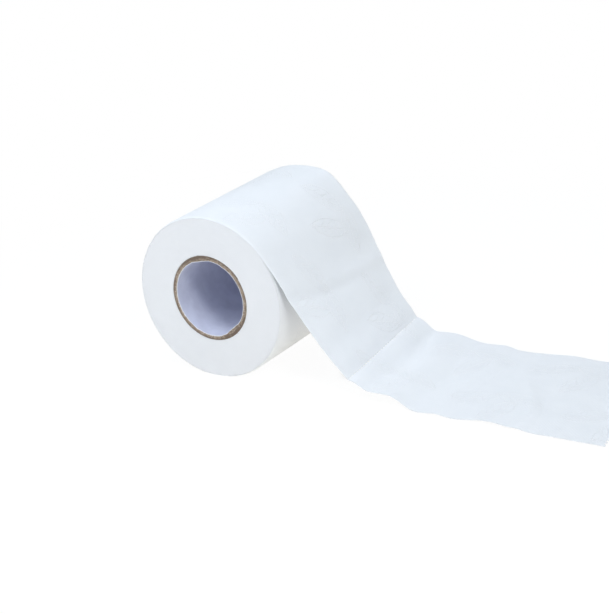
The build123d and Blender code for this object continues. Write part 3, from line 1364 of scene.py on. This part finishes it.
def board_finish():
    finish = new_finish("raw_board")
    plies = finish.noise(ring_place(finish, PLY_LENGTH), PLY_SIZE, detail=4)
    fibres = finish.noise(finish.object_place(), BOARD_FIBRES, detail=4)
    x, unused, z = finish.parts(finish.object_place())
    radius = (x * x + z * z).root()
    # Paler inside and darker at the outer edge: partly the board's fibres, partly a painted shade
    # where the board meets the tissue
    pale_inside_and_painted_shade = radius.falls(LINER_OUTSIDE, BOARD_OUTSIDE)
    # A painted shade at each crease darkens the board there
    for crease, unused in CREASES:
        crease_x = math.cos(math.radians(crease))
        crease_z = math.sin(math.radians(crease))
        crease_painted_shade = ((x * crease_x + z * crease_z) / radius).rises(*CREASE_STEP)
        pale_inside_and_painted_shade = pale_inside_and_painted_shade - crease_painted_shade * CREASE_PAINTED_SHADE
    brown_share = (plies + pale_inside_and_painted_shade * INNER_PLIES).rises(*PLY_STEP)
    pale_share = (fibres + pale_inside_and_painted_shade * INNER_SPECKS).rises(*SPECK_STEP)
    brown = finish.blend(brown_share, BOARD_DARK, BOARD_COLOUR)
    return finish.surface(
        base_color=finish.blend(pale_share, brown, BOARD_PALE),
        roughness=0.92,
        normal=finish.bump(plies * 0.5 + fibres * 0.5, BOARD_BUMP),
        specular_ior_level=0.25,
    )


raw_board = board_finish()
print("nodes in the board:", len(raw_board.node_tree.nodes))

# %% The finish of the lining
# The lining is white paper: both of its colours are painted darker and bluer, a painted shade as
# in the bore
LINING_PAINTED_SHADE = (0.65, 0.675, 0.82, 1)
LINING_DEEPER_PAINTED_SHADE = (0.57, 0.59, 0.73, 1)
LINING_EDGE = (0.82, 0.82, 0.88, 1)
LINING_CUT = (FAR_Y - 0.5 * MM, FAR_Y - 0.2 * MM)
LINING_FIBRES = 0.6 * MM
LINING_CLOUDS = 9 * MM
LINING_BUMP = 0.03 * MM


def lining_finish():
    finish = new_finish("lining_paper")
    place = finish.object_place()
    fibres = finish.noise(place, LINING_FIBRES)
    cloudy = finish.noise(place, LINING_CLOUDS, detail=2).rises(*TONE_STEP)
    # The lining's colour in painted shade, with a darker painted shade at random
    lining = finish.blend(cloudy, LINING_PAINTED_SHADE, LINING_DEEPER_PAINTED_SHADE)
    cut_edge = abs(finish.parts(place)[1]).rises(*LINING_CUT)
    return finish.surface(
        base_color=finish.blend(cut_edge, lining, LINING_EDGE),
        roughness=0.75,
        normal=finish.bump(fibres, LINING_BUMP),
        specular_ior_level=0.35,
    )


lining_paper = lining_finish()
print("nodes in the lining:", len(lining_paper.node_tree.nodes))

# %% [markdown]
# Each piece gets its finish and is attached to the root body, and the solid that it
# stands for is hidden.

# %% Dress the pieces


def dress(piece, material, node):
    """Give a piece its finish, attach it to the root body, and hide the solid that it stands for.
    """
    piece.data.materials.clear()
    piece.data.materials.append(material)
    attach(piece, "root")
    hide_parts(node)


dress(tissue_sheet, soft_tissue, "tissue_web")
dress(wound_turns, sawn_tissue, "tissue_web")
dress(board_tube, raw_board, "cardboard_core")
dress(tube_lining, lining_paper, "core_liner")
print("finishes:", [material.name for material in bpy.data.materials])

# %% [markdown]
# ## The floor and the light
#
# The roll lies on a white table that glows faintly and warmly from below, which lights
# the shaded side of the roll under the drop. A white floor that only reflects would come
# out grey next to white paper, so where the floor is seen it is almost all white glow,
# and only a small share of it still takes the object's soft shadow. Further out it is
# all glow, so that the floor has no edge.

# %% Add the floor
FLOOR_SIZE = 6
SHADOW_SHARE = 0.12
SHADOW_MIDDLE = 0.09
SHADOW_REACH = (0.16, 0.42)
FLOOR_COLOUR = (0.52, 0.51, 0.48, 1)
TABLE_COLOUR = (1.0, 0.97, 0.90, 1)
TABLE_STRENGTH = 0.51
SEEN_COLOUR = (0.9, 0.9, 0.9, 1)
WHITE = (1, 1, 1, 1)
SEEN_STRENGTH = 0.3

# Behind the slits of the crease a painted shadow: the floor that is seen doesn't glow there, so
# that the slits look dark
BEHIND_SLITS_X = 70.7 * MM
BEHIND_SLITS_SLANT = 0.10
BEHIND_SLITS_WIDTH = (2.5 * MM, 11 * MM)
BEHIND_SLITS_Y = 7 * MM
BEHIND_SLITS_LENGTH = (26 * MM, 38 * MM)


def glowing_table(finish, colour, glow_colour, strength):
    """A matt surface that takes the object's shadow, and a glow through it."""
    matt = finish.node("BsdfDiffuse", (), {"Color": colour}).outputs[0]
    glow = finish.node("Emission", (), {"Color": glow_colour, "Strength": strength}).outputs[0]
    return finish.node("AddShader", (), {0: matt, 1: glow}).outputs[0]


def floor_finish():
    finish = new_finish("white_floor")
    x, y, unused = finish.parts(finish.object_place())
    from_object = ((x - SHADOW_MIDDLE) * (x - SHADOW_MIDDLE) + y * y).root()
    share = from_object.rises(*SHADOW_REACH) * SHADOW_SHARE + (1 - SHADOW_SHARE)
    # A painted shadow on the floor behind the slits, where the seen floor doesn't glow
    from_middle = abs(x + y * BEHIND_SLITS_SLANT - BEHIND_SLITS_X)
    beside = abs(y - BEHIND_SLITS_Y)
    painted_shadow_behind_slits = from_middle.falls(*BEHIND_SLITS_WIDTH) * beside.falls(*BEHIND_SLITS_LENGTH)
    lit_table = glowing_table(finish, FLOOR_COLOUR, TABLE_COLOUR, TABLE_STRENGTH)
    shadowed = glowing_table(finish, SEEN_COLOUR, WHITE, SEEN_STRENGTH)
    glow = finish.node("Emission", (), {"Strength": 1.0}).outputs[0]
    seen = finish.mix_shaders(share * (1 - painted_shadow_behind_slits), shadowed, glow)
    mixed = finish.mix_shaders(finish.seen_directly(), lit_table, seen)
    finish.node("OutputMaterial", (), {"Surface": mixed})
    return finish.owner


start_clean()
bpy.ops.mesh.primitive_plane_add(size=FLOOR_SIZE, location=(0, 0, FLOOR_Z))
floor = place_applied(name_piece("floor"))
floor.data.materials.append(floor_finish())
floor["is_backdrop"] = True
print("floor at z in mm:", round(FLOOR_Z / MM, 2))

# %% [markdown]
# The room is brighter and bluer overhead and at both sides than in front and behind. A
# large soft lamp hangs above the roll, a little in front of it and to its left, near
# enough that the far end of the tissue gets less of it. The crown of the roll faces it.
# A second lamp, high on the right and in front, reaches into the bore and lights a
# crescent at its lower left.

# %% Add the light
HORIZON_COLOUR = (0.96, 0.985, 1.0, 1)
OVERHEAD_COLOUR = (0.86, 0.93, 1.0, 1)
HORIZON_STRENGTH = 0.24
OVERHEAD_STRENGTH = 0.58
OVERHEAD_RISES = (0.1, 0.6)
SIDES_COLOUR = (0.80, 0.92, 1.0, 1)
SIDES_STRENGTH = 0.13
SIDES_RISES = (0.3, 0.95)

# Each lamp is (name, place in metres, size in metres, power in watts, colour)
LAMPS = [
    ("soft_lamp", Vector((-0.06, -0.2, 0.39)), 0.28, 0.82, (0.88, 0.94, 1.0)),
    ("side_lamp", Vector((1.10, -0.67, 1.04)), 0.36, 7.0, (1.0, 1.0, 1.0)),
]
LAMP_TARGET = Vector((0.02, 0, 0))


def light_room():
    """A room that is brighter overhead and at the sides, and white where it is seen."""
    world = bpy.data.worlds.new("bright_room")
    bpy.context.scene.world = world
    room = Finish(world)
    direction = room.node("TexCoord").outputs["Generated"]
    x, unused, z = room.parts(direction)
    overhead = z.rises(*OVERHEAD_RISES)
    sides = abs(x).rises(*SIDES_RISES)
    strength = overhead * (OVERHEAD_STRENGTH - HORIZON_STRENGTH) + HORIZON_STRENGTH
    strength = strength + sides * SIDES_STRENGTH
    colour = room.blend(sides, room.blend(overhead, HORIZON_COLOUR, OVERHEAD_COLOUR), SIDES_COLOUR)
    light = room.node("Background", (), {"Color": colour, "Strength": strength}).outputs[0]
    white = room.node("Background", (), {"Color": WHITE, "Strength": 1.0}).outputs[0]
    mixed = room.mix_shaders(room.seen_directly(), light, white)
    room.node("OutputWorld", (), {"Surface": mixed})


def add_lamp(name, place, size, power, colour):
    lamp = bpy.data.lights.new(name, "AREA")
    lamp.size = size
    lamp.energy = power
    lamp.color = colour
    placed = bpy.data.objects.new(name, lamp)
    placed.location = place
    placed.rotation_euler = (LAMP_TARGET - place).to_track_quat("-Z", "Y").to_euler()
    bpy.context.scene.collection.objects.link(placed)


light_room()
for lamp_values in LAMPS:
    add_lamp(*lamp_values)
print("lamps:", [lamp_values[0] for lamp_values in LAMPS])

# %% [markdown]
# ## Finish
#
# The last cell prints the boxes of the solids and of the finished pieces, so that the
# two can be compared, and hands the scene over.

# %% Print the sizes and finish
bpy.context.view_layer.update()
low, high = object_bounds()
sizes = {"cad": [list(cad_low), list(cad_high)], "visual": [list(low), list(high)]}
for name, box in sizes.items():
    print(name, "box in mm:", [[round(value / MM, 1) for value in corner] for corner in box])
